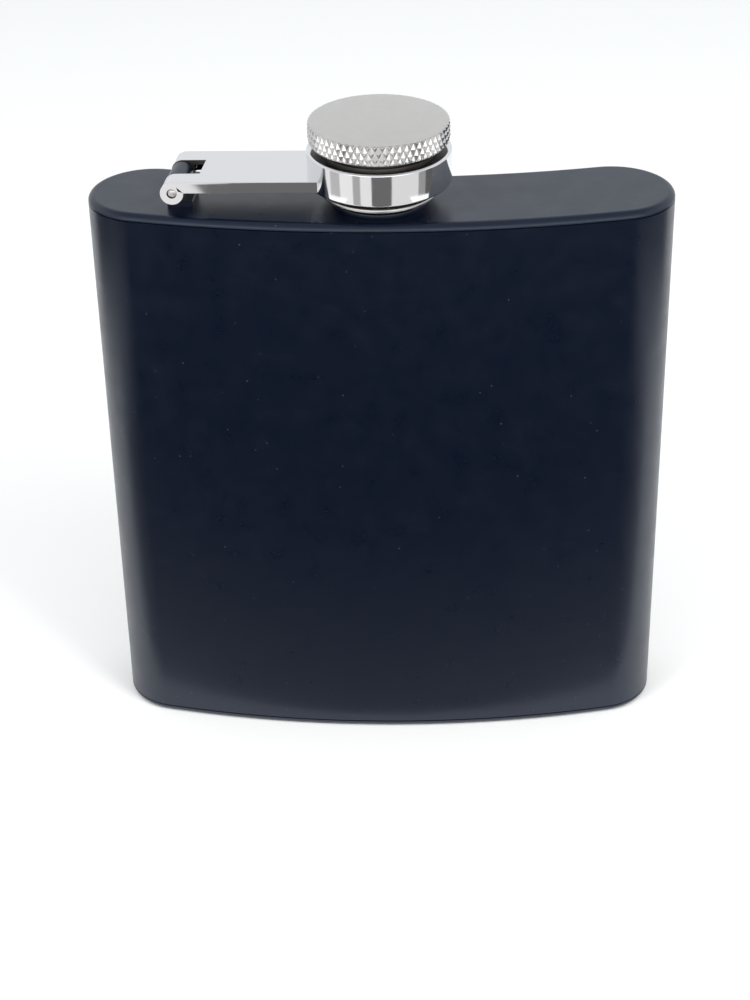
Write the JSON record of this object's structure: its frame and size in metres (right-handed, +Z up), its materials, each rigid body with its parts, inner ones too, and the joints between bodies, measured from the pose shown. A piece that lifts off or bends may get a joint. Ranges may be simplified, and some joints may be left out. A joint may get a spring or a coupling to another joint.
{
  "type": "hip flask",
  "caption": "Flat curved hip flask with a screw cap held captive on a hinged arm.",
  "frame": {"origin": "on the surface the flask stands on, below the middle of its bounding box; the neck's axis is 1.25 mm in front of it", "axes": "+Z up through the neck, +X to the right seen from the bowed front, +Y from the bowed front to the hollow back; the arm's hinge is near the -X end"},
  "size_m": [0.095, 0.0256, 0.1118],
  "materials": {
    "coat": "matte black powder coat with a fine grain",
    "polished_steel": "mirror polished",
    "satin_steel": "satin, with a knurled rim on the knob",
    "silicone": "translucent silicone"
  },
  "bodies": {
    "flask": {"body_sleeve": "coat", "top_plate": "coat", "base_plate": "coat", "neck": "satin_steel", "hinge_bracket": "coat"},
    "lid_arm": {"hinge_arm": "polished_steel", "hinge_pin": "satin_steel", "cap_collar": "polished_steel"},
    "seal": {"seal_disc": "silicone"},
    "cap": {"cap_insert": "satin_steel", "cap_knob": "satin_steel"}
  },
  "joints": [
    {"name": "arm_hinge", "type": "hinge", "parent": "flask", "child": "lid_arm", "pos_m": [-0.0319, -0.00125, 0.102], "axis": [-0.0958, -0.9954, 0], "range_deg": [0, 185]},
    {"name": "cap_lift", "type": "slide", "parent": "lid_arm", "child": "seal", "axis": [0, 0, 1], "range_m": [0, 0.0045]},
    {"name": "cap_turn", "type": "hinge", "parent": "seal", "child": "cap", "pos_m": [0, -0.00125, 0.1065], "axis": [0, 0, 1], "range_deg": [0, 810]}
  ],
  "couplings": [
    {"joint": "cap_lift", "follows": "cap_turn", "m_per_rad": 0.0003183}
  ]
}
